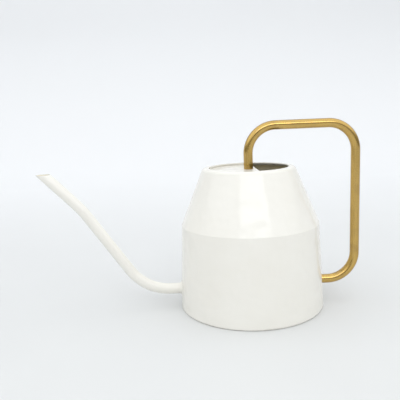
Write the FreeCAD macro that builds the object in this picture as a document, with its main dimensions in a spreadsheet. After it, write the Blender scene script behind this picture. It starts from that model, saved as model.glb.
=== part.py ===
"""Small indoor watering can: a flared sheet-steel drum under a conical shoulder, a half-closed top,
a long bent spout and a bent brass tube handle that is screwed on from inside.

Frame: +Z up, +X towards the handle, -X towards the spout, millimetres.
Origin: the centre of the standing ring, on the can's own axis.
"""
import FreeCAD, Part
import math
import os

import Sketcher
from FreeCAD import Placement, Rotation, Vector

DRIVING_SIZES = (
    # Sheet-steel body.
    ("sheet", 0.8),
    ("base_radius", 63.4),
    ("shoulder_radius", 60.0),
    ("shoulder_height", 74.6),
    ("foot_flange", 5.0),
    ("foot_bend", 1.6),
    ("skirt_depth", 6.0),
    ("rim_height", 123.4),
    ("rim_corner_radius", 39.9),
    ("rim_bend", 3.6),
    ("rim_width", 5.3),
    # Base plate with its raised, stiffened centre.
    ("base_gap", 0.1),
    ("dish_margin", 15.6),
    ("dish_rise", 1.2),
    ("dish_slope", 3.0),
    # Half-moon cover plate, hung under the turned-in rim.
    ("cover_drop", 2.1),
    ("cover_lap", 1.6),
    ("mouth_edge", 7.0),
    ("lip_depth", 5.0),
    ("lip_end_gap", 1.5),
    # Solder runs that make the seams watertight.
    ("solder_leg", 1.4),
    ("cover_solder_leg", 1.05),
    ("spout_fillet", 1.8),
    ("feather", 0.15),
    # Spout: one bent tube, cut level at its tip.
    ("spout_outer", 4.75),
    ("spout_wall", 0.8),
    ("spout_height", 16.5),
    ("spout_inside", 1.5),
    ("spout_stub", 10.0),
    ("spout_lower_bend", 42.4),
    ("spout_rise_angle", 55.9),
    ("spout_straight", 61.5),
    ("spout_upper_bend", 80.0),
    ("spout_tip_angle", 46.3),
    ("spout_tip_above_rim", 0.6),
    ("spout_overrun", 20.0),
    # Handle: one bent tube with a threaded plug in each end.
    ("tube_outer", 4.0),
    ("tube_wall", 1.0),
    ("handle_standoff", 31.4),
    ("handle_rise", 34.9),
    ("handle_foot_height", 18.4),
    ("handle_bend", 24.0),
    ("plug_end_gap", 0.4),
    # M4 fasteners.
    ("screw_shank", 2.0),
    ("screw_head", 3.8),
    ("screw_head_height", 2.2),
    ("screw_socket", 2.5),
    ("screw_socket_depth", 1.3),
    ("screw_head_bevel", 1.0),
    ("screw_chamfer", 0.5),
    ("screw_engagement", 6.0),
    ("screw_clearance", 0.2),
    ("washer_radius", 5.0),
    ("washer_thickness", 0.8),
    ("lock_washer_radius", 3.6),
    ("lock_washer_thickness", 0.9),
    ("lock_washer_slit", 0.2),
    ("seal_radius", 6.0),
    ("seal_thickness", 1.6),
)

DOCUMENT = FreeCAD.newDocument("WateringCan")
SHEET = DOCUMENT.addObject("Spreadsheet::Sheet", "Sizes")
for row, (alias, value) in enumerate(DRIVING_SIZES, start=1):
    SHEET.set(f"A{row}", alias)
    SHEET.set(f"B{row}", str(value))
    SHEET.setAlias(f"B{row}", alias)
DOCUMENT.recompute()

# Places are compared to this closeness, and a recess that removes less than this volume has missed.
SAME_PLACE = 0.01
SMALLEST_RECESS = 1.0

# Expressions that several pieces share.
WALL_SLOPE = "(Sizes.base_radius - Sizes.shoulder_radius) / Sizes.shoulder_height"
CONE_RUN = "(Sizes.shoulder_radius - Sizes.rim_corner_radius)"
CONE_RISE = "(Sizes.rim_height - Sizes.shoulder_height)"
RIM_UNDERSIDE = "(Sizes.rim_height - Sizes.sheet)"
COVER_TOP = "(Sizes.rim_height - Sizes.cover_drop)"
COVER_UNDERSIDE = f"({COVER_TOP} - Sizes.sheet)"
BASE_TOP = "(2 * Sizes.sheet)"
MOUTH_RADIUS = "(Sizes.rim_corner_radius - Sizes.rim_width)"
COVER_RADIUS = f"({MOUTH_RADIUS} + Sizes.cover_lap)"
SPOUT_TIP_HEIGHT = "(Sizes.rim_height + Sizes.spout_tip_above_rim)"
HANDLE_HEIGHT = "(Sizes.rim_height + Sizes.handle_rise)"


def wall_outside(height):
    """Expression for the drum's outer radius at a height."""
    return f"(Sizes.base_radius - ({height}) * {WALL_SLOPE})"


def wall_inside(height):
    """Expression for the drum's inner radius at a height."""
    return f"({wall_outside(height)} - Sizes.sheet)"


def cone_inside(height):
    """Expression for the cone's inner radius at a height, its wall measured square to the slope."""
    slant = f"sqrt({CONE_RUN} ^ 2 + {CONE_RISE} ^ 2)"
    across = f"Sizes.sheet * {slant} / {CONE_RISE}"
    outside = f"Sizes.shoulder_radius - (({height}) - Sizes.shoulder_height) * {CONE_RUN} / {CONE_RISE}"
    return f"({outside} - {across})"


def value_of(expression):
    """The number that an expression stands for now."""
    return float(SHEET.evalExpression(expression))


def bind(item, **expressions):
    """Ties properties to expressions; a double underscore in a name stands for a dot."""
    for name, expression in expressions.items():
        item.setExpression(name.replace("__", "."), expression)


# ---------------------------------------------------------------- sketches and solids


def new_body(name):
    return DOCUMENT.addObject("PartDesign::Body", name)


def new_sketch(body, name, plane, offset=None):
    """An empty sketch on one of the body's origin planes, moved along its normal by an expression."""
    sketch = body.newObject("Sketcher::SketchObject", name)
    origin_plane = [item for item in body.Origin.OriginFeatures if item.Role == plane][0]
    sketch.AttachmentSupport = [(origin_plane, "")]
    sketch.MapMode = "FlatFace"
    if offset:
        sketch.setExpression("AttachmentOffset.Base.z", offset)
    DOCUMENT.recompute()
    return sketch


def place_point(sketch, line, end, across, along):
    """Fixes one end of a line at a place given by two expressions."""
    for kind, expression, axis in (("DistanceX", across, -2), ("DistanceY", along, -1)):
        if expression == "0":
            sketch.addConstraint(Sketcher.Constraint("PointOnObject", line, end, axis))
            continue
        number = value_of(expression)
        index = sketch.addConstraint(Sketcher.Constraint(kind, -1, 1, line, end, number))
        sketch.setExpression(f"Constraints[{index}]", expression)


def outline(body, name, corners):
    """A closed XZ outline of straight lines through corners, each a pair of expressions."""
    sketch = new_sketch(body, name, "XZ_Plane")
    points = [Vector(value_of(across), value_of(along), 0) for across, along in corners]
    count = len(points)
    for index in range(count):
        segment = Part.LineSegment(points[index], points[(index + 1) % count])
        sketch.addGeometry(segment, False)
    for index in range(count):
        sketch.addConstraint(Sketcher.Constraint("Coincident", index, 2, (index + 1) % count, 1))
    for index, (across, along) in enumerate(corners):
        place_point(sketch, index, 1, across, along)
    return sketch


def turned(name, corners):
    """A body turned about Z from an outline in the XZ plane."""
    body = new_body(name)
    sketch = outline(body, name + "_outline", corners)
    turn = body.newObject("PartDesign::Revolution", name + "_turn")
    turn.Profile = sketch
    turn.ReferenceAxis = (sketch, ["V_Axis"])
    turn.Angle = 360.0
    DOCUMENT.recompute()
    return body


def circles_at(shape, radius, height):
    """Names of a shape's edges that are whole circles about Z with this radius and height."""
    names = []
    for index, edge in enumerate(shape.Edges, start=1):
        if not isinstance(edge.Curve, Part.Circle):
            continue
        centre = edge.Curve.Center
        if math.hypot(centre.x, centre.y) > SAME_PLACE or abs(centre.z - height) > SAME_PLACE:
            continue
        if abs(edge.Curve.Radius - radius) < SAME_PLACE:
            names.append(f"Edge{index}")
    return names


def round_circle(body, name, radius, height, bend):
    """Rounds the circular edge at a radius and height, all given by expressions."""
    edges = circles_at(body.Shape, value_of(radius), value_of(height))
    if not edges:
        raise RuntimeError(f"{name}: no circular edge to round")
    turned_shape = body.Tip
    rounding = body.newObject("PartDesign::Fillet", name)
    rounding.Base = (turned_shape, edges)
    rounding.setExpression("Radius", bend)
    body.Tip = rounding
    DOCUMENT.recompute()


def cylinder(name, radius, height, start, along=Vector(0, 0, 1)):
    """A Part cylinder whose centre line starts at three expressions and runs along a direction."""
    item = DOCUMENT.addObject("Part::Cylinder", name)
    item.Placement = Placement(Vector(), Rotation(Vector(0, 0, 1), along))
    bind(item, Radius=radius, Height=height)
    bind(item, Placement__Base__x=start[0], Placement__Base__y=start[1], Placement__Base__z=start[2])
    return item


def block(name, size, corner):
    """A Part box from its size and lowest corner, both three expressions."""
    item = DOCUMENT.addObject("Part::Box", name)
    bind(item, Length=size[0], Width=size[1], Height=size[2])
    bind(item, Placement__Base__x=corner[0], Placement__Base__y=corner[1], Placement__Base__z=corner[2])
    return item


def cut(name, base, tool):
    item = DOCUMENT.addObject("Part::Cut", name)
    item.Base = base
    item.Tool = tool
    DOCUMENT.recompute()
    return item


def fuse(name, base, tool):
    item = DOCUMENT.addObject("Part::Fuse", name)
    item.Base = base
    item.Tool = tool
    item.Refine = True
    DOCUMENT.recompute()
    return item


def common(name, base, tool):
    item = DOCUMENT.addObject("Part::Common", name)
    item.Base = base
    item.Tool = tool
    DOCUMENT.recompute()
    return item


def drum_envelope(name, radius_at):
    """The solid inside one face of the drum's wall, which the tubes' ends and the seal are cut to."""
    item = DOCUMENT.addObject("Part::Cone", name)
    bind(item, Radius1=radius_at("0"), Radius2=radius_at("Sizes.shoulder_height"))
    bind(item, Height="Sizes.shoulder_height")
    return item


class Straight:
    """A straight run of a tube: its length and direction, the direction in degrees from +X towards +Z."""

    def __init__(self, length, direction):
        self.length = length
        self.direction = direction


class Bend:
    """A bend between two straight runs, with its centre-line radius."""

    def __init__(self, radius):
        self.radius = radius


def bent_path(body, name, start, runs):
    """An XZ sketch of a tube's centre line: straight runs with a tangent bend between each two."""
    sketch = new_sketch(body, name, "XZ_Plane")
    point = Vector(value_of(start[0]), value_of(start[1]), 0)
    previous_end = None
    for index, run in enumerate(runs):
        if isinstance(run, Straight):
            heading = math.radians(value_of(run.direction))
            following = point + Vector(math.cos(heading), math.sin(heading), 0) * value_of(run.length)
            sketch.addGeometry(Part.LineSegment(point, following), False)
            entering, leaving = 1, 2
            length = sketch.addConstraint(Sketcher.Constraint("Distance", index, value_of(run.length)))
            sketch.setExpression(f"Constraints[{length}]", run.length)
        else:
            turn_from = math.radians(value_of(runs[index - 1].direction))
            turn_to = math.radians(value_of(runs[index + 1].direction))
            side = 1 if turn_to > turn_from else -1
            radius = value_of(run.radius)
            centre = point + Vector(-math.sin(turn_from), math.cos(turn_from), 0) * side * radius
            following = centre + Vector(math.sin(turn_to), -math.cos(turn_to), 0) * side * radius
            angles = sorted(turn - side * math.pi / 2 for turn in (turn_from, turn_to))
            circle = Part.Circle(centre, Vector(0, 0, 1), radius)
            sketch.addGeometry(Part.ArcOfCircle(circle, *angles), False)
            entering, leaving = (1, 2) if side > 0 else (2, 1)
            size = sketch.addConstraint(Sketcher.Constraint("Radius", index, radius))
            sketch.setExpression(f"Constraints[{size}]", run.radius)
        if previous_end:
            sketch.addConstraint(Sketcher.Constraint("Tangent", index - 1, previous_end, index, entering))
        previous_end = leaving
        point = following
    place_point(sketch, 0, 1, *start)
    for index, run in enumerate(runs):
        if isinstance(run, Straight):
            heading = math.radians(value_of(run.direction))
            angle = sketch.addConstraint(Sketcher.Constraint("Angle", index, heading))
            sketch.setExpression(f"Constraints[{angle}]", f"({run.direction}) * 1 deg")
    DOCUMENT.recompute()
    return sketch


def swept_tube(body, name, path, ring_plane, ring_offset, centre_height, outer, bore):
    """A hollow tube along a path, from a ring sketch that stands at the path's start."""
    ring = new_sketch(body, name + "_ring", ring_plane, ring_offset)
    middle = Vector(0, value_of(centre_height), 0)
    for index, radius in enumerate((outer, bore)):
        ring.addGeometry(Part.Circle(middle, Vector(0, 0, 1), value_of(radius)), False)
        size = ring.addConstraint(Sketcher.Constraint("Radius", index, value_of(radius)))
        ring.setExpression(f"Constraints[{size}]", radius)
        place_point(ring, index, 3, "0", centre_height)
    pipe = body.newObject("PartDesign::AdditivePipe", name + "_sweep")
    pipe.Profile = ring
    pipe.Spine = (path, [f"Edge{index + 1}" for index in range(path.GeometryCount)])
    body.Tip = pipe
    DOCUMENT.recompute()
    return body


SUB_PARTS = []


def finished(node, item):
    """Names a finished sub-part; its label is its file's name."""
    item.Label = node
    SUB_PARTS.append(item)
    return item


# ---------------------------------------------------------------- sheet-steel body


def make_drum_wall():
    """The flared wall, its foot turned in to stand on, with holes for the spout and the lower screw."""
    body = turned("DrumWall", (
        ("Sizes.base_radius - Sizes.foot_flange", "0"),
        ("Sizes.base_radius", "0"),
        ("Sizes.shoulder_radius", "Sizes.shoulder_height"),
        ("Sizes.shoulder_radius - Sizes.sheet", "Sizes.shoulder_height"),
        (wall_inside("Sizes.sheet"), "Sizes.sheet"),
        ("Sizes.base_radius - Sizes.foot_flange", "Sizes.sheet"),
    ))
    round_circle(body, "FootOutside", "Sizes.base_radius", "0", "Sizes.foot_bend")
    round_circle(body, "FootInside", wall_inside("Sizes.sheet"), "Sizes.sheet",
                 "Sizes.foot_bend - Sizes.sheet")
    spout_hole = cylinder("SpoutHole", "Sizes.spout_outer", "Sizes.base_radius",
                          ("0", "0", "Sizes.spout_height"), Vector(-1, 0, 0))
    screw_hole = cylinder("LowerScrewHole", "Sizes.screw_shank + Sizes.screw_clearance",
                          "Sizes.base_radius", ("0", "0", "Sizes.handle_foot_height"), Vector(1, 0, 0))
    with_spout_hole = cut("DrumWithSpoutHole", body, spout_hole)
    finished("drum_wall", cut("DrumWithBothHoles", with_spout_hole, screw_hole))


def base_plate_radius():
    """The plate stops where the wall's inside bend begins, less a gap for the solder to run into."""
    return f"({wall_inside(BASE_TOP)} - Sizes.foot_bend + Sizes.sheet - Sizes.base_gap)"


def make_base_plate():
    """A pressed disc on the drum's turned-in foot, raised in the middle to stiffen it."""
    dish_foot = f"({base_plate_radius()} - Sizes.dish_margin)"
    dish_brow = f"({dish_foot} - Sizes.dish_slope)"
    body = turned("BasePlate", (
        ("0", "Sizes.sheet + Sizes.dish_rise"),
        (dish_brow, "Sizes.sheet + Sizes.dish_rise"),
        (dish_foot, "Sizes.sheet"),
        (base_plate_radius(), "Sizes.sheet"),
        (base_plate_radius(), BASE_TOP),
        (dish_foot, BASE_TOP),
        (dish_brow, f"{BASE_TOP} + Sizes.dish_rise"),
        ("0", f"{BASE_TOP} + Sizes.dish_rise"),
    ))
    finished("base_plate", body)


def make_base_solder():
    """The solder run between the base plate's edge and the drum's wall, above the foot's inside bend."""
    bend_top = f"(Sizes.sheet + (Sizes.foot_bend - Sizes.sheet) * (1 + {WALL_SLOPE}))"
    top = f"({BASE_TOP} + Sizes.solder_leg)"
    body = turned("BaseSolder", (
        (f"{base_plate_radius()} - Sizes.solder_leg", BASE_TOP),
        (base_plate_radius(), BASE_TOP),
        (wall_inside(bend_top), bend_top),
        (wall_inside(top), top),
    ))
    finished("base_seam_solder", body)


def make_shoulder_cone():
    """The conical shoulder: a skirt inside the drum, the slope, and a rim turned in round the mouth."""
    skirt_foot = "(Sizes.shoulder_height - Sizes.skirt_depth)"
    body = turned("ShoulderCone", (
        ("Sizes.shoulder_radius", "Sizes.shoulder_height"),
        ("Sizes.rim_corner_radius", "Sizes.rim_height"),
        (MOUTH_RADIUS, "Sizes.rim_height"),
        (MOUTH_RADIUS, RIM_UNDERSIDE),
        (cone_inside(RIM_UNDERSIDE), RIM_UNDERSIDE),
        ("Sizes.shoulder_radius - 2 * Sizes.sheet", cone_bottom_height()),
        (f"{wall_inside(skirt_foot)} - Sizes.sheet", skirt_foot),
        (wall_inside(skirt_foot), skirt_foot),
        ("Sizes.shoulder_radius - Sizes.sheet", "Sizes.shoulder_height"),
    ))
    round_circle(body, "RimOutside", "Sizes.rim_corner_radius", "Sizes.rim_height", "Sizes.rim_bend")
    round_circle(body, "RimInside", cone_inside(RIM_UNDERSIDE), RIM_UNDERSIDE,
                 "Sizes.rim_bend - Sizes.sheet")
    finished("shoulder_cone", body)


def cone_bottom_height():
    """The height at which the slope's inner face has come in to the skirt's inner radius."""
    slant = f"sqrt({CONE_RUN} ^ 2 + {CONE_RISE} ^ 2)"
    inset = f"(2 * Sizes.sheet - Sizes.sheet * {slant} / {CONE_RISE})"
    return f"(Sizes.shoulder_height + {inset} * {CONE_RISE} / {CONE_RUN})"


def make_shoulder_solder():
    """The solder run under the skirt's edge, against the drum's inside."""
    skirt_foot = "(Sizes.shoulder_height - Sizes.skirt_depth)"
    foot = f"({skirt_foot} - Sizes.solder_leg)"
    body = turned("ShoulderSolder", (
        (wall_inside(foot), foot),
        (wall_inside(skirt_foot), skirt_foot),
        (f"{wall_inside(skirt_foot)} - Sizes.sheet", skirt_foot),
    ))
    finished("shoulder_seam_solder", body)


def handle_side(name):
    """A block that holds everything on the handle's side of the mouth's straight edge."""
    size = ("Sizes.base_radius", "2 * Sizes.base_radius", "Sizes.rim_height")
    corner = ("Sizes.mouth_edge", "-Sizes.base_radius", "Sizes.shoulder_height")
    return block(name, size, corner)


def make_cover_plate():
    """The half-moon cover: a floor hung below the rim, its curved edge turned up, its straight edge down."""
    pan = turned("CoverPan", (
        ("0", COVER_UNDERSIDE),
        (COVER_RADIUS, COVER_UNDERSIDE),
        (COVER_RADIUS, RIM_UNDERSIDE),
        (f"{COVER_RADIUS} - Sizes.sheet", RIM_UNDERSIDE),
        (f"{COVER_RADIUS} - Sizes.sheet", COVER_TOP),
        ("0", COVER_TOP),
    ))
    half_moon = cut("HalfMoon", pan, handle_side("MouthSide"))
    half_chord = f"(sqrt({COVER_RADIUS} ^ 2 - Sizes.mouth_edge ^ 2) - Sizes.lip_end_gap)"
    lip = block("MouthLip", ("Sizes.sheet", f"2 * {half_chord}", "Sizes.lip_depth"),
                ("Sizes.mouth_edge - Sizes.sheet", f"-{half_chord}", f"{COVER_TOP} - Sizes.lip_depth"))
    screw_hole = cylinder("UpperScrewHole", "Sizes.screw_shank + Sizes.screw_clearance",
                          "3 * Sizes.sheet", ("0", "0", f"{COVER_UNDERSIDE} - Sizes.sheet"))
    finished("cover_plate", cut("CoverWithHole", fuse("CoverWithLip", half_moon, lip), screw_hole))


def make_cover_solder():
    """The solder run outside the cover's turned-up edge, under the rim."""
    ring = turned("CoverSolderRing", (
        (COVER_RADIUS, RIM_UNDERSIDE),
        (COVER_RADIUS, f"{RIM_UNDERSIDE} - Sizes.cover_solder_leg"),
        (f"{COVER_RADIUS} + Sizes.cover_solder_leg", RIM_UNDERSIDE),
    ))
    finished("cover_seam_solder", cut("CoverSolder", ring, handle_side("SolderMouthSide")))


# ---------------------------------------------------------------- spout


def spout_start():
    """How far from the axis the spout's inner end lies."""
    return f"({wall_inside('Sizes.spout_height')} - Sizes.spout_inside)"


def make_spout_tube():
    """One tube: out of the drum, up through a tight bend, back through a slight one, cut level."""
    body = new_body("SpoutBent")
    reach = "(Sizes.spout_stub + Sizes.sheet + Sizes.spout_inside)"
    path = bent_path(body, "SpoutCentreLine", (f"-{spout_start()}", "Sizes.spout_height"), (
        Straight(reach, "180"),
        Bend("Sizes.spout_lower_bend"),
        Straight("Sizes.spout_straight", "180 - Sizes.spout_rise_angle"),
        Bend("Sizes.spout_upper_bend"),
        Straight(spout_last_run(), "180 - Sizes.spout_tip_angle"),
    ))
    swept_tube(body, "Spout", path, "YZ_Plane", f"-{spout_start()}", "Sizes.spout_height",
               "Sizes.spout_outer", "Sizes.spout_outer - Sizes.spout_wall")
    above_tip = block("AboveTip", ("4 * Sizes.base_radius", "2 * Sizes.base_radius", "Sizes.rim_height"),
                      ("-5 * Sizes.base_radius", "-Sizes.base_radius", SPOUT_TIP_HEIGHT))
    finished("spout_tube", cut("SpoutLevelTip", body, above_tip))


def spout_last_run():
    """The last straight run, long enough to pass the level cut at the tip."""
    rise = "(Sizes.spout_rise_angle * 1 deg)"
    tip = "(Sizes.spout_tip_angle * 1 deg)"
    climbed = (f"(Sizes.spout_height + Sizes.spout_lower_bend * (1 - cos({rise}))"
               f" + Sizes.spout_straight * sin({rise})"
               f" + Sizes.spout_upper_bend * (cos({tip}) - cos({rise})))")
    return f"(({SPOUT_TIP_HEIGHT} - {climbed}) / sin({tip}) + Sizes.spout_overrun)"


def make_spout_fillet():
    """The brazed fillet round the spout's root, hollow-faced, on the drum's outside."""
    brim = "(Sizes.spout_outer + Sizes.spout_fillet)"
    sleeve = "(Sizes.spout_outer + Sizes.feather)"
    ring = turned("SpoutFilletRing", (
        ("Sizes.spout_outer", "-2 * Sizes.sheet"),
        (brim, "-2 * Sizes.sheet"),
        (brim, "Sizes.feather"),
        (sleeve, "Sizes.feather"),
        (sleeve, "Sizes.spout_fillet"),
        ("Sizes.spout_outer", "Sizes.spout_fillet"),
    ))
    round_circle(ring, "SpoutFilletHollow", sleeve, "Sizes.feather",
                 "Sizes.spout_fillet - 2 * Sizes.feather")
    ring.Placement = Placement(Vector(), Rotation(Vector(0, 0, 1), Vector(-1, 0, 0)))
    bind(ring, Placement__Base__x=f"-{wall_outside('Sizes.spout_height')}",
         Placement__Base__z="Sizes.spout_height")
    finished("spout_root_braze", cut("SpoutFillet", ring, drum_envelope("DrumForFillet", wall_outside)))


# ---------------------------------------------------------------- handle and its fastenings


def leg_run():
    """The leg's straight run, from the cover plate to the first bend."""
    return f"({HANDLE_HEIGHT} - {COVER_TOP} - Sizes.handle_bend)"


def foot_run():
    """The foot's straight run, from the last bend to the drum's wall."""
    return "(Sizes.handle_standoff - Sizes.handle_bend)"


def make_handle_tube():
    """One tube: a leg on the cover plate, a level bar, a post behind the can and a short foot to the wall."""
    body = new_body("HandleBent")
    reach = f"({wall_outside('Sizes.handle_foot_height')} + Sizes.handle_standoff)"
    path = bent_path(body, "HandleCentreLine", ("0", COVER_TOP), (
        Straight(leg_run(), "90"),
        Bend("Sizes.handle_bend"),
        Straight(f"{reach} - 2 * Sizes.handle_bend", "0"),
        Bend("Sizes.handle_bend"),
        Straight(f"{HANDLE_HEIGHT} - Sizes.handle_foot_height - 2 * Sizes.handle_bend", "-90"),
        Bend("Sizes.handle_bend"),
        Straight(f"{foot_run()} + 2 * Sizes.sheet", "-180"),
    ))
    swept_tube(body, "Handle", path, "XY_Plane", COVER_TOP, "0",
               "Sizes.tube_outer", "Sizes.tube_outer - Sizes.tube_wall")
    finished("handle_tube", cut("HandleFitted", body, drum_envelope("DrumForHandle", wall_outside)))


def make_upper_fastening():
    """A threaded plug in the leg, and the screw with its washers under the cover plate."""
    plug = cylinder("UpperPlugBar", "Sizes.tube_outer - Sizes.tube_wall",
                    f"{leg_run()} - Sizes.plug_end_gap", ("0", "0", COVER_TOP))
    thread = cylinder("UpperPlugThread", "Sizes.screw_shank", leg_run(), ("0", "0", COVER_TOP))
    finished("upper_handle_plug", cut("UpperPlug", plug, thread))
    washer_foot = f"({COVER_UNDERSIDE} - Sizes.washer_thickness)"
    finished("upper_washer", ring_washer("UpperWasher", "Sizes.washer_radius", "Sizes.washer_thickness",
                                         ("0", "0", washer_foot)))
    lock_foot = f"({washer_foot} - Sizes.lock_washer_thickness)"
    finished("upper_lock_washer", split_washer("UpperLockWasher", lock_foot))
    screw = button_screw("UpperScrew", f"{COVER_TOP} - {lock_foot} + Sizes.screw_engagement")
    screw.setExpression("Placement.Base.z", lock_foot)
    finished("upper_screw", screw)


def ring_washer(name, radius, thickness, start, along=Vector(0, 0, 1)):
    """A flat washer with the screw's clearance hole."""
    disc = cylinder(name + "Disc", radius, thickness, start, along)
    hole = cylinder(name + "Hole", "Sizes.screw_shank + Sizes.screw_clearance", thickness, start, along)
    return cut(name, disc, hole)


def split_washer(name, foot):
    """A spring washer: a ring with a narrow slit through one side."""
    ring = ring_washer(name + "Ring", "Sizes.lock_washer_radius", "Sizes.lock_washer_thickness",
                       ("0", "0", foot))
    size = ("Sizes.lock_washer_radius", "Sizes.lock_washer_slit", "Sizes.lock_washer_thickness")
    slit = block(name + "Slit", size, ("0", "-Sizes.lock_washer_slit / 2", foot))
    return cut(name, ring, slit)


def button_screw(name, shank_length):
    """A button-head socket screw: the head's seat at the origin, the shank along +Z."""
    body = turned(name, (
        ("0", "-Sizes.screw_head_height"),
        ("Sizes.screw_head - Sizes.screw_head_bevel", "-Sizes.screw_head_height"),
        ("Sizes.screw_head", "-Sizes.screw_head_bevel"),
        ("Sizes.screw_head", "0"),
        ("Sizes.screw_shank", "0"),
        ("Sizes.screw_shank", f"{shank_length} - Sizes.screw_chamfer"),
        ("Sizes.screw_shank - Sizes.screw_chamfer", shank_length),
        ("0", shank_length),
    ))
    sketch = new_sketch(body, name + "_socket", "XY_Plane", "-Sizes.screw_head_height")
    across_corners = value_of("Sizes.screw_socket / sqrt(3)")
    corners = [Vector(across_corners * math.cos(math.radians(60 * turn)),
                      across_corners * math.sin(math.radians(60 * turn)), 0) for turn in range(6)]
    for index in range(6):
        sketch.addGeometry(Part.LineSegment(corners[index], corners[(index + 1) % 6]), False)
    socket = body.newObject("PartDesign::Pocket", name + "_recess")
    socket.Profile = sketch
    socket.Reversed = True
    socket.setExpression("Length", "Sizes.screw_socket_depth")
    before = body.Shape.Volume
    body.Tip = socket
    DOCUMENT.recompute()
    if body.Shape.Volume > before - SMALLEST_RECESS:
        raise RuntimeError(f"{name}: the socket removed nothing")
    return body


def make_lower_fastening():
    """A threaded plug in the handle's foot, and the screw, washer and rubber seal inside the drum."""
    outward = Vector(1, 0, 0)
    height = "Sizes.handle_foot_height"
    outside = wall_outside(height)
    plug = cylinder("LowerPlugBar", "Sizes.tube_outer - Sizes.tube_wall",
                    f"{foot_run()} - Sizes.plug_end_gap + 2 * Sizes.sheet",
                    (f"{outside} - 2 * Sizes.sheet", "0", height), outward)
    thread = cylinder("LowerPlugThread", "Sizes.screw_shank", "Sizes.base_radius",
                      (f"{outside} - 2 * Sizes.sheet", "0", height), outward)
    fitted = cut("LowerPlugFitted", plug, drum_envelope("DrumForPlug", wall_outside))
    finished("lower_handle_plug", cut("LowerPlug", fitted, thread))
    seal_face = f"({wall_inside(height)} - Sizes.seal_thickness)"
    seal = ring_washer("SealBlank", "Sizes.seal_radius", "2 * Sizes.seal_thickness",
                       (seal_face, "0", height), outward)
    finished("lower_seal", common("LowerSeal", seal, drum_envelope("DrumForSeal", wall_inside)))
    washer_face = f"({seal_face} - Sizes.washer_thickness)"
    finished("lower_washer", ring_washer("LowerWasher", "Sizes.washer_radius", "Sizes.washer_thickness",
                                         (washer_face, "0", height), outward))
    screw = button_screw("LowerScrew", f"{outside} - {washer_face} + Sizes.screw_engagement")
    screw.Placement = Placement(Vector(), Rotation(Vector(0, 0, 1), outward))
    bind(screw, Placement__Base__x=washer_face, Placement__Base__z=height)
    finished("lower_screw", screw)


# ---------------------------------------------------------------- build, check and write


def check_document():
    """Stops if any object failed to build or any sub-part isn't one valid solid."""
    DOCUMENT.recompute()
    for item in DOCUMENT.Objects:
        if "Invalid" in item.State or "Error" in item.State:
            raise RuntimeError(f"{item.Label} failed: {item.State}")
    for item in SUB_PARTS:
        shape = item.Shape
        if shape.isNull() or not shape.isValid() or len(shape.Solids) != 1:
            raise RuntimeError(f"{item.Label} isn't one valid solid")


def main():
    make_drum_wall()
    make_base_plate()
    make_base_solder()
    make_shoulder_cone()
    make_shoulder_solder()
    make_cover_plate()
    make_cover_solder()
    make_spout_tube()
    make_spout_fillet()
    make_handle_tube()
    make_upper_fastening()
    make_lower_fastening()
    check_document()
    os.makedirs("parts", exist_ok=True)
    for item in SUB_PARTS:
        item.Shape.exportStep(f"parts/{item.Label}.step")
        print(f"{item.Label}: {item.Shape.Volume / 1000:.3f} cm3")


main()
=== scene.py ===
"""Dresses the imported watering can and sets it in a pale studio.

The CAD nodes whose shapes are right stay and get their finishes here. The two bent tubes are modelled
anew on the centre lines that the CAD gave them, so that the spout's lip is softened by its paint and
the brass carries draw lines that follow it through its bends. Lengths are in metres; MM turns
millimetres into them. Angles are in degrees where a class holds them. X points from the spout to the
handle, Z is up and the can stands on Z = 0.
"""

import logging
import math
from collections.abc import Callable
from dataclasses import dataclass
from enum import Enum

import bpy
from mathutils import Matrix, Vector


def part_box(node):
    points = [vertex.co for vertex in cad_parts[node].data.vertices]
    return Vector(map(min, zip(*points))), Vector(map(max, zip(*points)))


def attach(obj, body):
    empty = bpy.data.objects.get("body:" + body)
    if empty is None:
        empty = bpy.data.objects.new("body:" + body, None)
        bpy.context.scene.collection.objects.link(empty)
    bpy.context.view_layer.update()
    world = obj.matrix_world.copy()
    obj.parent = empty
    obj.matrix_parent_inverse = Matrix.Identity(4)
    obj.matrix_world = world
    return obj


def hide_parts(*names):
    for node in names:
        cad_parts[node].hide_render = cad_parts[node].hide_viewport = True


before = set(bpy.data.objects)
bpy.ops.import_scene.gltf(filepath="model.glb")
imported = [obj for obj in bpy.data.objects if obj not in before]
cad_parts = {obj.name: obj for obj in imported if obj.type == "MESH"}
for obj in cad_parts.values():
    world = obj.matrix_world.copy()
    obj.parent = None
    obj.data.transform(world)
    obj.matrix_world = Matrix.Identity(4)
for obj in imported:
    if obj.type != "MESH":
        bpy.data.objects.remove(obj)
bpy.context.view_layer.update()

MM = 0.001
# Two points closer than this are in the same place.
HAIR = 0.001 * MM
# A noise's values lie mostly between these.
NOISE_SPAN = (0.3, 0.7)
# Two faces that meet at less than this angle are shaded as one smooth surface.
SMOOTH_ANGLE = math.radians(38)
LOG = logging.getLogger("watering_can")

Socket = bpy.types.NodeSocket
Tree = bpy.types.NodeTree


class Slot(Enum):
    """Material slot names for new pieces; finish_piece takes them but does not use them, and a CAD node
    keeps its own.
    """

    PAINT = "powder_coated_steel"
    BRASS_TUBE = "brass_tube"


class Mix(Enum):
    """The sockets of a colour Mix node, which shares their names with its other kinds."""

    FIRST = 6
    SECOND = 7
    RESULT = 2


def linear(hex_colour: str) -> tuple[float, float, float, float]:
    """Turn an sRGB hex colour into linear light, by the sRGB standard's curve.

    Args:
        hex_colour: six hex digits after a "#".

    Returns:
        Red, green, blue and a full alpha.
    """
    channels = [int(hex_colour[i:i + 2], 16) / 255 for i in (1, 3, 5)]
    red, green, blue = [c / 12.92 if c <= 0.04045 else ((c + 0.055) / 1.055) ** 2.4 for c in channels]
    return red, green, blue, 1.0


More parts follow.
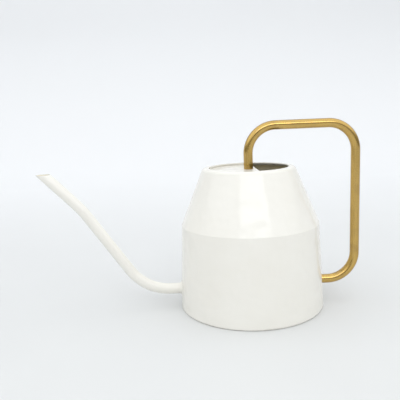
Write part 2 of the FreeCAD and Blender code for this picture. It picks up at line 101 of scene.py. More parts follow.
def add_node(tree: Tree, kind: str, inputs: dict | None = None, **settings: object) -> bpy.types.Node:
    """Add one node with its settings and links.

    Args:
        tree: the node tree it goes into.
        kind: the node's type name.
        inputs: for each input, by name or number, a value or the output that feeds it.
        settings: the node's own properties.

    Returns:
        The new node.
    """
    node = tree.nodes.new(kind)
    for name, value in settings.items():
        setattr(node, name, value)
    for key, value in (inputs or {}).items():
        if isinstance(value, Socket):
            tree.links.new(value, node.inputs[key])
        else:
            node.inputs[key].default_value = value
    return node


def object_place(tree: Tree) -> Socket:
    """Find a shaded point's object coordinates.

    Args:
        tree: the material's node tree.

    Returns:
        The output that gives them.
    """
    return add_node(tree, "ShaderNodeTexCoord").outputs["Object"]


def clouds(tree: Tree, place: Socket, size: float, detail: float) -> Socket:
    """Add a cloudy value.

    Args:
        tree: the node tree it goes into.
        place: the output that gives the coordinates.
        size: about how large one cloud is.
        detail: how many finer layers break it up.

    Returns:
        The output that gives the value, mostly within NOISE_SPAN.
    """
    noise = add_node(tree, "ShaderNodeTexNoise", {"Vector": place, "Scale": 1 / size, "Detail": detail})
    return noise.outputs["Fac"]


def blend(tree: Tree, factor: Socket | float, first: Socket | str, second: Socket | str) -> Socket:
    """Add a mix of two colours.

    Args:
        tree: the node tree it goes into.
        factor: how much of the second colour it has, from 0 to 1.
        first: the first colour, in hex or as an output.
        second: the second colour, likewise.

    Returns:
        The output that gives the mix.
    """
    sides = [linear(colour) if isinstance(colour, str) else colour for colour in (first, second)]
    mix = add_node(tree, "ShaderNodeMix", {
        "Factor": factor, Mix.FIRST.value: sides[0], Mix.SECOND.value: sides[1]}, data_type="RGBA")
    return mix.outputs[Mix.RESULT.value]


def remap(tree: Tree, value: Socket, source: tuple[float, float], target: tuple[float, float],
          curve: str = "LINEAR") -> Socket:
    """Carry a value from one range to another and keep it within the second.

    Args:
        tree: the node tree it goes into.
        value: the output that gives the value.
        source: the range it comes from.
        target: the range it goes to.
        curve: how it runs from end to end.

    Returns:
        The output that gives the new value.
    """
    carried = add_node(tree, "ShaderNodeMapRange", {
        "Value": value, "From Min": source[0], "From Max": source[1],
        "To Min": target[0], "To Max": target[1]}, interpolation_type=curve)
    return carried.outputs["Result"]


def combine(tree: Tree, operation: str, first: Socket, second: Socket | float) -> Socket:
    """Add a calculation with two numbers.

    Args:
        tree: the node tree it goes into.
        operation: the Math node's operation.
        first: the first number's output.
        second: the second number, or its output.

    Returns:
        The output that gives the result.
    """
    return add_node(tree, "ShaderNodeMath", {0: first, 1: second}, operation=operation).outputs["Value"]


def relief(tree: Tree, height: Socket, depth: float, strength: float = 1.0,
           under: Socket | None = None) -> Socket:
    """Add a bump.

    Args:
        tree: the material's node tree.
        height: the output that gives the height, from 0 to 1.
        depth: how high a value of 1 stands, in metres.
        strength: how far the bump shows, from 0 to 1.
        under: a coarser bump's normal, which this one lies on.

    Returns:
        The output that gives the normal.
    """
    inputs = {"Height": height, "Distance": depth, "Strength": strength}
    if under is not None:
        inputs["Normal"] = under
    return add_node(tree, "ShaderNodeBump", inputs).outputs["Normal"]


# ---------------------------------------------------------------------------------------------------
# Finishes


@dataclass(frozen=True)
class Finish:
    """A material that is made once and worn by every piece that needs it."""

    name: str

    def material(self) -> bpy.types.Material:
        """Make the finish's material at its first use.

        Returns:
            The material, the same one at every call.
        """
        known = bpy.data.materials.get(self.name)
        if known:
            return known
        material = bpy.data.materials.new(self.name)
        material.use_nodes = True
        tree = material.node_tree
        tree.nodes.clear()
        shader = add_node(tree, "ShaderNodeBsdfPrincipled")
        add_node(tree, "ShaderNodeOutputMaterial", {"Surface": shader.outputs["BSDF"]})
        self.compose(tree, shader)
        return material

    def compose(self, tree: Tree, shader: bpy.types.Node) -> None:
        """Fill the tree in; each finish does it its own way.

        Args:
            tree: the material's node tree.
            shader: its Principled BSDF.
        """
        raise NotImplementedError(self.name)


@dataclass(frozen=True)
class PowderCoat(Finish):
    """Semi-gloss ivory powder coat, sprayed and baked on pressed steel sheet.

    The eye sees an almost even warm white, a soft highlight whose edge wanders because the sheet under
    it is never quite true, and the fine orange peel of baked powder. Towards the bottom edge the coat is
    darker, in broken patches. Inside, below the cover plate, it is a warmer colour, painted darker
    towards the turned-in rim as painted shade.
    """

    paint: str = "#F2F0E9"
    thin_paint: str = "#EDEAE1"
    inside_paint: str = "#F6EFDB"
    # Painted shade: the colour the inner side darkens to under the turned-in rim.
    painted_rim_shade: str = "#DBCFAC"
    # The specks' colour, and the colour the coat darkens to towards the bottom edge.
    speck_and_foot_colour: str = "#8C8470"
    roughness: tuple[float, float] = (0.14, 0.22)
    ior: float = 1.5
    peel_size: float = 1.6 * MM
    peel_height: float = 0.006 * MM
    # A press leaves shallow waves. They are about a centimetre long here and deeper than real ones, so
    # that the highlight's edge wanders.
    wave_size: float = 13 * MM
    wave_height: float = 0.60 * MM
    cloud_size: float = 30 * MM
    # Real grit in the powder is a tenth of this; it is drawn this coarse so that it shows.
    speck_size: float = 3.2 * MM
    # A speck's radius, as a share of that size.
    speck_reach: float = 0.06
    speck_strength: float = 0.12
    # A point inside the can: a face that looks towards it is on the inner side of the sheet.
    heart: tuple[float, float, float] | None = (0, 0, 60 * MM)
    # Above this height, just under the cover plate, all is painted like the outside.
    lining_top: float = 120.2 * MM
    # From this height up to the lining's top, the inner side is painted darker towards the rim: painted
    # shade under the turned-in rim.
    rim_shade_from: float = 111 * MM
    foot_reach: float = 1.6 * MM
    foot_strength: float = 0.30

    def compose(self, tree: Tree, shader: bpy.types.Node) -> None:
        """Fill the tree in: colour clouds, specks, the inner side with painted shade under the rim,
        darkening towards the bottom edge, sheen and relief.

        Args:
            tree: the material's node tree.
            shader: its Principled BSDF.
        """
        place = object_place(tree)
        height = add_node(tree, "ShaderNodeSeparateXYZ", {"Vector": place}).outputs["Z"]
        cloud = clouds(tree, place, self.cloud_size, detail=3.0)
        coat = blend(tree, cloud, self.paint, self.thin_paint)
        specked = blend(tree, self.specks(tree, place), coat, self.speck_and_foot_colour)
        # Painted shade: the inner side darkens towards the rim's underside.
        rim_shade_mix = remap(tree, height, (self.rim_shade_from, self.lining_top), (0.0, 1.0), "SMOOTHSTEP")
        lining = blend(tree, rim_shade_mix, self.inside_paint, self.painted_rim_shade)
        inner = self.inner_side(tree, place, height) if self.heart else 0.0
        lined = blend(tree, inner, specked, lining)
        # The coat is darker towards the bottom edge, in broken patches.
        darkened = blend(tree, self.foot_darkening(tree, place, height), lined, self.speck_and_foot_colour)
        tree.links.new(darkened, shader.inputs["Base Color"])
        tree.links.new(remap(tree, cloud, NOISE_SPAN, self.roughness), shader.inputs["Roughness"])
        shader.inputs["IOR"].default_value = self.ior

        wave = clouds(tree, place, self.wave_size, detail=1.0)
        waved = relief(tree, wave, self.wave_height)
        peel = clouds(tree, place, self.peel_size, detail=2.0)
        peeled = relief(tree, peel, self.peel_height, under=waved)
        tree.links.new(peeled, shader.inputs["Normal"])

    def specks(self, tree: Tree, place: Socket) -> Socket:
        """Scatter grit in the powder.

        Args:
            tree: the material's node tree.
            place: object coordinates.

        Returns:
            How much grit shows, from 0 to the specks' strength.
        """
        grit = add_node(tree, "ShaderNodeTexVoronoi",
                        {"Vector": place, "Scale": 1 / self.speck_size, "Randomness": 1.0})
        return remap(tree, grit.outputs["Distance"], (0.0, self.speck_reach), (self.speck_strength, 0.0))

    def inner_side(self, tree: Tree, place: Socket, height: Socket) -> Socket:
        """Find the sheet's inner side.

        Args:
            tree: the material's node tree.
            place: object coordinates.
            height: their Z.

        Returns:
            1 where a face below the lining's top looks towards the can's heart, else 0.
        """
        outward = add_node(tree, "ShaderNodeVectorMath", {0: place, 1: self.heart}, operation="SUBTRACT")
        facing = add_node(tree, "ShaderNodeNewGeometry").outputs["True Normal"]
        lean = add_node(tree, "ShaderNodeVectorMath",
                        {0: outward.outputs["Vector"], 1: facing}, operation="DOT_PRODUCT")
        inward = combine(tree, "LESS_THAN", lean.outputs["Value"], 0.0)
        below = combine(tree, "LESS_THAN", height, self.lining_top)
        return combine(tree, "MULTIPLY", inward, below)

    def foot_darkening(self, tree: Tree, place: Socket, height: Socket) -> Socket:
        """Find where the coat is darker towards the bottom edge, in broken patches.

        Args:
            tree: the material's node tree.
            place: object coordinates.
            height: their Z.

        Returns:
            How much darker the coat is, from 0 to the foot's strength.
        """
        low = remap(tree, height, (0.0, self.foot_reach), (self.foot_strength, 0.0), "SMOOTHSTEP")
        return combine(tree, "MULTIPLY", low, clouds(tree, place, self.cloud_size, detail=4.0))


@dataclass(frozen=True)
class LacqueredBrass(Finish):
    """Drawn brass tube, satin brushed along its length and clear lacquered.

    The eye sees long soft bands of light and dark that run with the tube, broken by fine draw lines,
    faint brown clouds where the lacquer has been handled, and a thin glossy skin over it all.
    """

    bright: str = "#DAB55A"
    deep: str = "#AC883C"
    tarnish: str = "#785828"
    # What a glancing look gives: the edges of the tube stay olive.
    glancing: str = "#A08A50"
    roughness: tuple[float, float] = (0.17, 0.30)
    lacquer_roughness: float = 0.06
    lacquer_ior: float = 1.6
    # Real draw lines are a tenth of this apart; they are drawn this coarse so that they show.
    line_size: float = 0.55 * MM
    line_length: float = 30 * MM
    line_height: float = 0.02 * MM
    line_strength: float = 0.6
    cloud_size: float = 14 * MM
    # Only the thickest part of the clouds is tarnished, and that by no more than the strength.
    tarnish_span: tuple[float, float] = (0.52, 0.8)
    tarnish_strength: float = 0.5

    def compose(self, tree: Tree, shader: bpy.types.Node) -> None:
        """Fill the tree in: draw lines along the tube, handling clouds, satin sheen and lacquer.

        Args:
            tree: the material's node tree.
            shader: its Principled BSDF.
        """
        along = add_node(tree, "ShaderNodeAttribute", attribute_name=BentTube.DRAW).outputs["Vector"]
        stretched = add_node(tree, "ShaderNodeMapping", {
            "Vector": along,
            "Scale": (1 / self.line_size, 1 / self.line_size, 1 / self.line_length)})
        lines = clouds(tree, stretched.outputs["Vector"], size=1.0, detail=3.0)
        toned = blend(tree, lines, self.bright, self.deep)
        cloud = clouds(tree, along, self.cloud_size, detail=4.0)
        handled = remap(tree, cloud, self.tarnish_span, (0.0, self.tarnish_strength))
        tree.links.new(blend(tree, handled, toned, self.tarnish), shader.inputs["Base Color"])
        tree.links.new(remap(tree, lines, NOISE_SPAN, self.roughness), shader.inputs["Roughness"])
        drawn = relief(tree, lines, self.line_height, self.line_strength)
        tree.links.new(drawn, shader.inputs["Normal"])
        shader.inputs["Metallic"].default_value = 1.0
        shader.inputs["Specular Tint"].default_value = linear(self.glancing)
        shader.inputs["Coat Weight"].default_value = 1.0
        shader.inputs["Coat Roughness"].default_value = self.lacquer_roughness
        shader.inputs["Coat IOR"].default_value = self.lacquer_ior


@dataclass(frozen=True)
class TurnedMetal(Finish):
    """Bare metal turned on a lathe, such as a brass plug or a zinc-plated screw.

    The eye sees fine rings, a dull sheen and small clouds in the plating. The rings lie level, which is
    right for the pieces that stand upright; the others are hidden in the can.
    """

    bright: str = "#C9CCD0"
    dull: str = "#9EA2A8"
    roughness: tuple[float, float] = (0.25, 0.45)
    ring_size: float = 0.3 * MM
    ring_height: float = 0.01 * MM
    ring_strength: float = 0.5
    cloud_size: float = 2.5 * MM
    axis: tuple[float, float, float] = (0, 0, 1)

    def compose(self, tree: Tree, shader: bpy.types.Node) -> None:
        """Fill the tree in: rings along the axis, plating clouds and a dull sheen.

        Args:
            tree: the material's node tree.
            shader: its Principled BSDF.
        """
        place = object_place(tree)
        depth = add_node(tree, "ShaderNodeVectorMath", {0: place, 1: self.axis}, operation="DOT_PRODUCT")
        rings = add_node(tree, "ShaderNodeTexNoise", {
            "W": depth.outputs["Value"], "Scale": 1 / self.ring_size, "Detail": 2.0},
            noise_dimensions="1D")
        cloud = clouds(tree, place, self.cloud_size, detail=3.0)
        tree.links.new(blend(tree, cloud, self.bright, self.dull), shader.inputs["Base Color"])
        tree.links.new(remap(tree, cloud, NOISE_SPAN, self.roughness), shader.inputs["Roughness"])
        turned = relief(tree, rings.outputs["Fac"], self.ring_height, self.ring_strength)
        tree.links.new(turned, shader.inputs["Normal"])
        shader.inputs["Metallic"].default_value = 1.0


@dataclass(frozen=True)
class TinSolder(Finish):
    """Soft tin solder, wiped along a seam while it was molten.

    The eye sees a pale grey metal with a frosty, slightly lumpy skin.
    """

    bright: str = "#C4C5C3"
    frost: str = "#8F918F"
    roughness: float = 0.42
    lump_size: float = 2.2 * MM
    lump_height: float = 0.12 * MM
    lump_strength: float = 0.8
    frost_size: float = 0.6 * MM

    def compose(self, tree: Tree, shader: bpy.types.Node) -> None:
        """Fill the tree in: frost on the skin and lumps from the wiping.

        Args:
            tree: the material's node tree.
            shader: its Principled BSDF.
        """
        place = object_place(tree)
        frost = clouds(tree, place, self.frost_size, detail=3.0)
        tree.links.new(blend(tree, frost, self.bright, self.frost), shader.inputs["Base Color"])
        lumps = clouds(tree, place, self.lump_size, detail=2.0)
        wiped = relief(tree, lumps, self.lump_height, self.lump_strength)
        tree.links.new(wiped, shader.inputs["Normal"])
        shader.inputs["Metallic"].default_value = 1.0
        shader.inputs["Roughness"].default_value = self.roughness


@dataclass(frozen=True)
class MouldedRubber(Finish):
    """Black nitrile rubber, moulded and tumbled.

    The eye sees a dull near-black with a dusty bloom and the grain of the mould.
    """

    rubber: str = "#1E1E1F"
    bloom: str = "#38383A"
    roughness: float = 0.7
    ior: float = 1.52
    grain_size: float = 0.5 * MM
    grain_height: float = 0.02 * MM
    grain_strength: float = 0.5

    def compose(self, tree: Tree, shader: bpy.types.Node) -> None:
        """Fill the tree in: bloom and grain from one noise.

        Args:
            tree: the material's node tree.
            shader: its Principled BSDF.
        """
        grain = clouds(tree, object_place(tree), self.grain_size, detail=3.0)
        tree.links.new(blend(tree, grain, self.rubber, self.bloom), shader.inputs["Base Color"])
        moulded = relief(tree, grain, self.grain_height, self.grain_strength)
        tree.links.new(moulded, shader.inputs["Normal"])
        shader.inputs["Roughness"].default_value = self.roughness
        shader.inputs["IOR"].default_value = self.ior


@dataclass(frozen=True)
class StudioPaper(Finish):
    """Cool white background paper, matt with a trace of sheen.

    The eye sees a pale ground with the object's own soft shadows. Its colour holds painted light: darker in
    front of the can and lighter towards the wall.
    """

    paper: str = "#DBDCDB"
    lit_far_paper: str = "#EEEFF0"
    shade: str = "#D6D7D6"
    roughness: float = 0.45
    ior: float = 1.45
    cloud_size: float = 120 * MM
    # Painted light: the paper is painted lighter from this distance in front of the can to this one behind
    # it.
    fade: tuple[float, float] = (-0.30, 1.05)

    def compose(self, tree: Tree, shader: bpy.types.Node) -> None:
        """Fill the tree in: a faint cloudiness, painted light that makes it lighter towards the wall, and
        little sheen.

        Args:
            tree: the material's node tree.
            shader: its Principled BSDF.
        """
        place = object_place(tree)
        cloud = clouds(tree, place, self.cloud_size, detail=2.0)
        tone = blend(tree, cloud, self.paper, self.shade)
        # Painted light: the paper's colour brightens from the front towards the wall.
        depth = add_node(tree, "ShaderNodeSeparateXYZ", {"Vector": place}).outputs["Y"]
        distance = remap(tree, depth, self.fade, (0.0, 1.0), "SMOOTHSTEP")
        tree.links.new(blend(tree, distance, tone, self.lit_far_paper), shader.inputs["Base Color"])
        shader.inputs["Roughness"].default_value = self.roughness
        shader.inputs["IOR"].default_value = self.ior


IVORY = PowderCoat("ivory_powder_coat")
SPOUT_IVORY = PowderCoat("ivory_powder_coat_spout", heart=None)
BORE_IVORY = PowderCoat("ivory_powder_coat_bore", paint="#E4DCC4", thin_paint="#DAD1B6", heart=None)
BRASS = LacqueredBrass("lacquered_brass_tube")
PLUG_BRASS = TurnedMetal("turned_brass", bright="#D9B873", dull="#B08D4B")
ZINC = TurnedMetal("zinc_plated_steel")
SOLDER = TinSolder("tin_solder")
RUBBER = MouldedRubber("nitrile_rubber")
PAPER = StudioPaper("background_paper")


# ---------------------------------------------------------------------------------------------------
# Bent tubes


def only(piece: bpy.types.Object) -> None:
    """Select one object and make it the active one.

    Args:
        piece: the object to work on.
    """
    bpy.ops.object.select_all(action="DESELECT")
    piece.select_set(True)
    bpy.context.view_layer.objects.active = piece


def select_edges(piece: bpy.types.Object, wanted: Callable[[Vector, Vector], bool]) -> None:
    """Select a piece's edges by their place, in object mode, and nothing else.

    Args:
        piece: the piece.
        wanted: says whether the edge between two points is to be selected.
    """
    mesh = piece.data
    mesh.polygons.foreach_set("select", [False] * len(mesh.polygons))
    mesh.vertices.foreach_set("select", [False] * len(mesh.vertices))
    for edge in mesh.edges:
        ends = [mesh.vertices[index] for index in edge.vertices]
        edge.select = wanted(ends[0].co, ends[1].co)
        for end in ends:
            end.select = end.select or edge.select


def heading_vector(heading: float) -> Vector:
    """Give the unit vector in the XZ plane at an angle from +X towards +Z.

    Args:
        heading: the angle in radians.

    Returns:
        The vector.
    """
    return Vector((math.cos(heading), 0, math.sin(heading)))


@dataclass(frozen=True)
class Straight:
    """A straight run of a tube."""

    length: float


@dataclass(frozen=True)
class Bend:
    """A bend of a tube in the XZ plane; its turn is in degrees, positive from +X towards +Z."""

    radius: float
    turn: float


@dataclass(frozen=True)
class Stretch:
    """A run in its place: where it starts, which way it heads and how far along the tube that is."""

    run: Straight | Bend
    start: Vector
    heading: float
    along: float

    @property
    def side(self) -> int:
        """Which side of the heading a bend's centre is on: 1 for the left, seen from the front, or -1."""
        return 1 if self.run.turn > 0 else -1

    @property
    def centre(self) -> Vector:
        """A bend's centre."""
        return self.start + heading_vector(self.heading + math.pi / 2) * self.side * self.run.radius

    @property
    def length(self) -> float:
        """How long the centre line is.

        Returns:
            The straight's length or the bend's arc.
        """
        if isinstance(self.run, Straight):
            return self.run.length
        return self.run.radius * math.radians(abs(self.run.turn))

    def following(self, run: Straight | Bend) -> "Stretch":
        """Place the next run where this one ends.

        Args:
            run: the next run.

        Returns:
            The next stretch.
        """
        if isinstance(self.run, Straight):
            end, heading = self.start + heading_vector(self.heading) * self.run.length, self.heading
        else:
            heading = self.heading + math.radians(self.run.turn)
            end = self.centre - heading_vector(heading + math.pi / 2) * self.side * self.run.radius
        return Stretch(run, end, heading, self.along + self.length)

    def measure(self, point: Vector) -> Vector:
        """Give a point's place in the tube's own terms.

        Args:
            point: a point near this stretch.

        Returns:
            Its offsets from the centre line, in the plane of the bends and across it, and how far
            along the stretch it is.
        """
        if isinstance(self.run, Straight):
            from_start = point - self.start
            return Vector((from_start.dot(heading_vector(self.heading + math.pi / 2)), point.y,
                           from_start.dot(heading_vector(self.heading))))
        spoke = point - self.centre
        spoke.y = 0
        first = -heading_vector(self.heading + math.pi / 2) * self.side
        swept = math.atan2(first.cross(spoke).dot(Vector((0, -self.side, 0))), first.dot(spoke))
        return Vector(((self.run.radius - spoke.length) * self.side, point.y, swept * self.run.radius))


@dataclass
class BentTube:
    """A hollow round tube that is bent in the XZ plane.

    Attributes:
        name: the piece's name.
        outer: the outer radius.
        wall: the wall's thickness.
        start: where the centre line starts.
        heading: which way it starts, in degrees from +X towards +Z.
        runs: its straight runs and bends in order.
        around: how many sides its rings have.
        bend_step: the angle between two rings in a bend, in degrees.
    """

    DRAW = "draw"

    name: str
    outer: float
    wall: float
    start: Vector
    heading: float
    runs: tuple[Straight | Bend, ...]
    around: int = 72
    bend_step: float = 2.5

    def stretches(self) -> list[Stretch]:
        """Place every run one after another.

        Returns:
            The runs with their places.
        """
        placed = [Stretch(self.runs[0], self.start, math.radians(self.heading), 0.0)]
        for run in self.runs[1:]:
            placed.append(placed[-1].following(run))
        return placed

    def build(self) -> bpy.types.Object:
        """Model the tube from one ring, extruded along the straights and spun through the bends.

        Returns:
            The tube, at the origin, with its place in its mesh.
        """
        bpy.ops.object.select_all(action="DESELECT")
        bpy.ops.mesh.primitive_circle_add(
            vertices=self.around, radius=self.outer, fill_type="NGON", location=self.start,
            rotation=(0, math.pi / 2 - math.radians(self.heading), 0))
        tube = bpy.context.active_object
        tube.name = tube.data.name = self.name
        bpy.ops.object.transform_apply(location=True, rotation=True, scale=True)
        bpy.ops.object.mode_set(mode="EDIT")
        bpy.ops.mesh.select_mode(type="FACE")
        bpy.ops.mesh.select_all(action="SELECT")
        bpy.ops.mesh.inset(thickness=self.wall)
        bpy.ops.mesh.delete(type="FACE")
        bpy.ops.mesh.select_all(action="SELECT")
        for stretch in self.stretches():
            if isinstance(stretch.run, Straight):
                reach = heading_vector(stretch.heading) * stretch.run.length
                bpy.ops.mesh.extrude_region_move(TRANSFORM_OT_translate={"value": reach})
            else:
                bpy.ops.mesh.spin(
                    steps=round(abs(stretch.run.turn) / self.bend_step),
                    angle=math.radians(abs(stretch.run.turn)),
                    center=stretch.centre, axis=(0, stretch.side, 0))
        bpy.ops.mesh.select_all(action="SELECT")
        bpy.ops.mesh.remove_doubles(threshold=HAIR)
        bpy.ops.mesh.normals_make_consistent(inside=False)
        bpy.ops.object.mode_set(mode="OBJECT")
        return tube

    def mark_draw(self, tube: bpy.types.Object) -> None:
        """Store on each vertex its place in the tube's own terms, which the draw lines follow.

        Args:
            tube: the finished tube.
        """
        placed = self.stretches()
        attribute = tube.data.attributes.new(self.DRAW, "FLOAT_VECTOR", "POINT")
        for vertex, entry in zip(tube.data.vertices, attribute.data):
            best = min(placed, key=lambda stretch: self.misfit(stretch, vertex.co))
            local = best.measure(vertex.co)
            entry.vector = (local.x, local.y, best.along + local.z)

    def misfit(self, stretch: Stretch, point: Vector) -> float:
        """Say how badly a point fits a stretch.

        Args:
            stretch: the stretch to try.
            point: a point of the tube.

        Returns:
            How far it lies beyond the stretch's ends or outside the tube.
        """
        local = stretch.measure(point)
        beyond = max(0.0, -local.z, local.z - stretch.length)
        outside = max(0.0, math.hypot(local.x, local.y) - self.outer)
        return beyond + outside


def finish_piece(piece: bpy.types.Object, finish: Finish, slot: Slot, *nodes: str) -> None:
    """Smooth a new piece, dress it, put it on the can's body and hide the CAD nodes it stands for.

    Args:
        piece: the new piece.
        finish: what it wears.
        slot: not used.
        nodes: the CAD nodes it replaces.
    """
    only(piece)
    bpy.ops.object.shade_smooth_by_angle(angle=SMOOTH_ANGLE)
    piece.data.materials.clear()
    piece.data.materials.append(finish.material())
    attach(piece, "root")
    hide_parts(*nodes)
    LOG.info("%s: %d faces, %s", piece.name, len(piece.data.polygons), finish.name)


def dress(node: str, finish: Finish) -> None:
    """Give a CAD node its finish.

    Args:
        node: the node's name.
        finish: what it wears.
    """
    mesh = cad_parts[node].data
    mesh.materials.clear()
    mesh.materials.append(finish.material())
    LOG.info("%s: %s", node, finish.name)


# ---------------------------------------------------------------------------------------------------
# Sub-assemblies


@dataclass
class Shell:
    """The can's painted sheet-metal body with its solder seams."""

    painted: tuple[str, ...] = ("drum_wall", "shoulder_cone", "cover_plate", "base_plate")
    # The cover's seam lies in the open under the rim and was painted over; the other two are deep inside.
    bare_seams: tuple[str, ...] = ("base_seam_solder", "shoulder_seam_solder")
    painted_seam: str = "cover_seam_solder"

    def build(self) -> None:
        """Dress the sheets and the seams."""
        for node in self.painted:
            dress(node, IVORY)
        for node in self.bare_seams:
            dress(node, SOLDER)
        dress(self.painted_seam, SPOUT_IVORY)


@dataclass
class Spout:
    """The painted spout, one tube that leaves the drum low and is cut level at its tip."""

    outer: float = 4.75 * MM
    wall: float = 0.8 * MM
    stub: float = 12.3 * MM
    lower_bend: float = 42.4 * MM
    rise: float = 55.9
    straight: float = 61.5 * MM
    upper_bend: float = 80 * MM
    tip_angle: float = 46.3
    overrun: float = 80 * MM
    lip_round: float = 0.22 * MM
    lip_segments: int = 3
    # A face that lies deeper than this share of the wall belongs to the bore.
    bore_depth: float = 0.9

    def build(self) -> None:
        """Model the tube, cut and soften its lip, and dress it and the fillet at its root."""
        low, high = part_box("spout_tube")
        tube = BentTube("spout", self.outer, self.wall, Vector((high.x, 0, low.z + self.outer)), 180, (
            Straight(self.stub),
            Bend(self.lower_bend, -self.rise),
            Straight(self.straight),
            Bend(self.upper_bend, self.rise - self.tip_angle),
            Straight(self.overrun),
        ))
        spout = tube.build()
        self.cut_lip(spout, high.z)
        finish_piece(spout, SPOUT_IVORY, Slot.PAINT, "spout_tube")
        self.line_bore(spout, tube)
        dress("spout_root_braze", SPOUT_IVORY)

    def line_bore(self, spout: bpy.types.Object, tube: BentTube) -> None:
        """Give the bore the thin coat that reaches it.

        Args:
            spout: the finished spout.
            tube: what it was modelled from.
        """
        spout.data.materials.append(BORE_IVORY.material())
        placed = tube.stretches()
        bore_edge = self.outer - self.bore_depth * self.wall
        for face in spout.data.polygons:
            nearest = min(placed, key=lambda stretch: tube.misfit(stretch, face.center))
            local = nearest.measure(face.center)
            face.material_index = int(math.hypot(local.x, local.y) < bore_edge)

    def cut_lip(self, spout: bpy.types.Object, height: float) -> None:
        """Cut the tip off level and round the lip's two edges, as paint does.

        Args:
            spout: the overlong tube.
            height: where the tip ends.
        """
        only(spout)
        bpy.ops.object.mode_set(mode="EDIT")
        bpy.ops.mesh.select_mode(type="EDGE")
        bpy.ops.mesh.select_all(action="SELECT")
        bpy.ops.mesh.bisect(plane_co=(0, 0, height), plane_no=(0, 0, 1), clear_outer=True)
        bpy.ops.mesh.bridge_edge_loops()
        bpy.ops.object.mode_set(mode="OBJECT")
        lip = [vertex.co.x for vertex in spout.data.vertices if abs(vertex.co.z - height) < HAIR]
        middle = Vector(((min(lip) + max(lip)) / 2, 0, height))

        def runs_round(first: Vector, second: Vector) -> bool:
            """Say whether an edge of the lip runs round it, not across its wall."""
            level = max(abs(first.z - height), abs(second.z - height)) < HAIR
            return level and abs((first - middle).length - (second - middle).length) < self.wall / 2

        select_edges(spout, runs_round)
        bpy.ops.object.mode_set(mode="EDIT")
        bpy.ops.mesh.bevel(offset=self.lip_round, segments=self.lip_segments, affect="EDGES")
        bpy.ops.object.mode_set(mode="OBJECT")


@dataclass
class Handle:
    """The brass handle, one tube: a leg on the cover plate, a bar, a post and a foot on the wall."""

    outer: float = 4 * MM
    wall: float = 1 * MM
    bend: float = 24 * MM
    # How far the foot runs into the drum before it is cut.
    foot_overlap: float = 3 * MM
    # The drum's wall, which the foot is cut to: its radii at the bottom and at the top.
    base_radius: float = 63.4 * MM
    shoulder_radius: float = 60 * MM
    wall_sides: int = 256

    def build(self) -> None:
        """Model the tube, fit its foot to the drum and dress it."""
        low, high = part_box("handle_tube")
        cover_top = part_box("upper_handle_plug")[0].z
        bar_height = high.z - self.outer
        post = high.x - self.outer
        foot_height = low.z + self.outer
        foot_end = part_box("drum_wall")[1].x - self.foot_overlap
        tube = BentTube("handle", self.outer, self.wall, Vector((0, 0, cover_top)), 90, (
            Straight(bar_height - cover_top - self.bend),
            Bend(self.bend, -90),
            Straight(post - 2 * self.bend),
            Bend(self.bend, -90),
            Straight(bar_height - foot_height - 2 * self.bend),
            Bend(self.bend, -90),
            Straight(post - self.bend - foot_end),
        ))
        handle = tube.build()
        self.fit_foot(handle)
        tube.mark_draw(handle)
        finish_piece(handle, BRASS, Slot.BRASS_TUBE, "handle_tube")

    def fit_foot(self, handle: bpy.types.Object) -> None:
        """Cut the foot's end to the drum's wall, so that it seats without a gap.

        Args:
            handle: the tube, which reaches into the drum.
        """
        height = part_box("drum_wall")[1].z
        bpy.ops.mesh.primitive_cone_add(vertices=self.wall_sides, radius1=self.base_radius,
                                        radius2=self.shoulder_radius, depth=height,
                                        location=(0, 0, height / 2))
        wall = bpy.context.active_object
        only(handle)
        cutter = handle.modifiers.new("foot_seat", "BOOLEAN")
        cutter.operation = "DIFFERENCE"
        cutter.object = wall
        bpy.ops.object.modifier_apply(modifier=cutter.name)
        bpy.data.objects.remove(wall, do_unlink=True)


@dataclass
class Fastenings:
    """The hidden screws that hold the handle, with their plugs, washers and seal."""

    plugs: tuple[str, ...] = ("upper_handle_plug", "lower_handle_plug")
    plated: tuple[str, ...] = ("upper_washer", "upper_lock_washer", "upper_screw",
                               "lower_washer", "lower_screw")

    def build(self) -> None:
        """Dress each small part."""
        for node in self.plugs:
            dress(node, PLUG_BRASS)
        for node in self.plated:
            dress(node, ZINC)
        dress("lower_seal", RUBBER)


# ---------------------------------------------------------------------------------------------------
# Studio


@dataclass(frozen=True)
class Softbox:
    """A large soft lamp.

    Attributes:
        name: the lamp's name.
        place: where it hangs.
        target: the point that it looks at.
        size: its width and height.
        power: in watts.
        tint: the light's colour.
    """

    name: str
    place: tuple[float, float, float]
    target: tuple[float, float, float]
    size: tuple[float, float]
    power: float
    tint: str = "#FBFCFF"

    def build(self) -> None:
        """Hang the lamp and turn it to its target."""
        lamp = bpy.data.lights.new(self.name, "AREA")
        lamp.shape = "RECTANGLE"
        lamp.size, lamp.size_y = self.size
        lamp.energy = self.power
        lamp.color = linear(self.tint)[:3]
        holder = bpy.data.objects.new(self.name, lamp)
        holder.location = self.place
        aim = Vector(self.target) - Vector(self.place)
        holder.rotation_euler = aim.to_track_quat("-Z", "Y").to_euler()
        bpy.context.scene.collection.objects.link(holder)


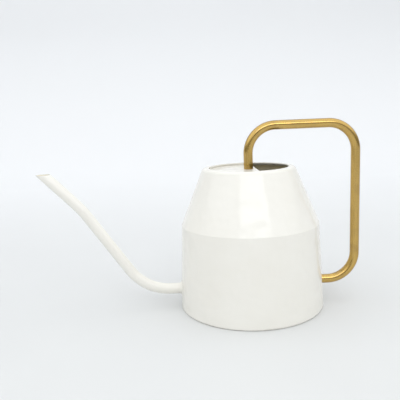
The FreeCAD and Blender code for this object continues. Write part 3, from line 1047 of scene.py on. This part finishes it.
@dataclass
class Studio:
    """A pale paper sweep, soft lamps and the camera."""

    # Half the paper's width and depth on the table.
    reach: float = 7.0
    wall_distance: float = 1.3
    wall_height: float = 2.2
    sweep_radius: float = 0.5
    sweep_segments: int = 24
    ambient: str = "#F6F8FA"
    # How bright the room is on its dim side, which lies in front of the can and low, and opposite.
    ambient_range: tuple[float, float] = (1.25, 1.45)
    dim_side: tuple[float, float, float] = (0.1, -0.92, -0.38)
    # The light fades between these two cosines of the angle to that side.
    dim_fade: tuple[float, float] = (-0.6, 0.9)
    # The room's walls are darker than its ceiling, by this factor. The shade ends between these two
    # slopes, which are sines of the angle above the horizon.
    wall_shade: float = 0.22
    wall_fade: tuple[float, float] = (0.14, 0.44)
    # In millimetres.
    lens: float = 44.3
    sensor: float = 36.0
    # The camera sees nothing closer than this.
    nearest: float = 10 * MM
    eye: tuple[float, float, float] = (-55.62 * MM, -424.44 * MM, 170.23 * MM)
    heading: float = 1.679
    pitch: float = 9.918
    roll: float = -2.384
    lamps: tuple[Softbox, ...] = (
        Softbox("window", (0.04, -0.76, 0.64), (0, 0, 0.12), (0.78, 0.24), 1.5),
        Softbox("wall_wash", (-0.12, 0.45, 0.95), (-0.05, 1.30, 0.75), (2.4, 0.4), 2.1),
    )

    def build(self) -> None:
        """Lay the paper, hang the lamps and set the camera up."""
        self.lay_paper()
        for lamp in self.lamps:
            lamp.build()
        self.light_air()
        self.set_camera()

    def lay_paper(self) -> None:
        """Roll the paper out over the table and up the wall in one curve."""
        bpy.ops.object.select_all(action="DESELECT")
        bpy.ops.mesh.primitive_plane_add(size=2 * self.reach,
                                         location=(0, self.wall_distance - self.reach, 0))
        paper = bpy.context.active_object
        paper.name = paper.data.name = "paper_sweep"
        bpy.ops.object.transform_apply(location=True, rotation=True, scale=True)
        select_edges(paper, lambda first, second: min(first.y, second.y) > 0)
        bpy.ops.object.mode_set(mode="EDIT")
        bpy.ops.mesh.select_mode(type="EDGE")
        bpy.ops.mesh.extrude_region_move(TRANSFORM_OT_translate={"value": (0, 0, self.wall_height)})
        bpy.ops.object.mode_set(mode="OBJECT")
        select_edges(paper, lambda first, second: min(first.y, second.y) > 0 and max(first.z, second.z) < MM)
        bpy.ops.object.mode_set(mode="EDIT")
        bpy.ops.mesh.bevel(offset=self.sweep_radius, segments=self.sweep_segments, affect="EDGES")
        bpy.ops.object.mode_set(mode="OBJECT")
        bpy.ops.object.shade_smooth()
        paper.data.materials.append(PAPER.material())

    def light_air(self) -> None:
        """Fill the room with a cool light that is dimmer low in front and along the walls."""
        world = bpy.data.worlds.new("studio_air")
        world.use_nodes = True
        tree = world.node_tree
        tree.nodes.clear()
        look = add_node(tree, "ShaderNodeTexCoord").outputs["Generated"]
        side = add_node(tree, "ShaderNodeVectorMath", {0: look, 1: self.dim_side}, operation="DOT_PRODUCT")
        level = remap(tree, side.outputs["Value"], self.dim_fade, self.ambient_range[::-1], "SMOOTHSTEP")
        height = add_node(tree, "ShaderNodeSeparateXYZ", {"Vector": look}).outputs["Z"]
        shade = remap(tree, height, self.wall_fade, (self.wall_shade, 1.0), "SMOOTHSTEP")
        strength = combine(tree, "MULTIPLY", level, shade)
        air = add_node(tree, "ShaderNodeBackground",
                       {"Color": linear(self.ambient), "Strength": strength})
        add_node(tree, "ShaderNodeOutputWorld", {"Surface": air.outputs["Background"]})
        bpy.context.scene.world = world
        bpy.context.scene.view_settings.view_transform = "Standard"

    def set_camera(self) -> None:
        """Put the camera in front of the can, a little above it and turned as given."""
        camera = bpy.data.cameras.new("camera")
        camera.sensor_width = self.sensor
        camera.lens = self.lens
        camera.clip_start = self.nearest
        holder = bpy.data.objects.new("camera", camera)
        turn = (Matrix.Rotation(math.radians(-self.heading), 4, "Z")
                @ Matrix.Rotation(math.radians(90 - self.pitch), 4, "X")
                @ Matrix.Rotation(math.radians(self.roll), 4, "Z"))
        holder.matrix_world = Matrix.Translation(self.eye) @ turn
        bpy.context.scene.collection.objects.link(holder)
        bpy.context.scene.camera = holder


def main() -> None:
    """Build the sub-assemblies in order, then the studio round them."""
    logging.basicConfig(level=logging.INFO, format="%(name)s: %(message)s")
    for part in (Shell(), Spout(), Handle(), Fastenings()):
        part.build()
    Studio().build()


if __name__ == "__main__":
    main()
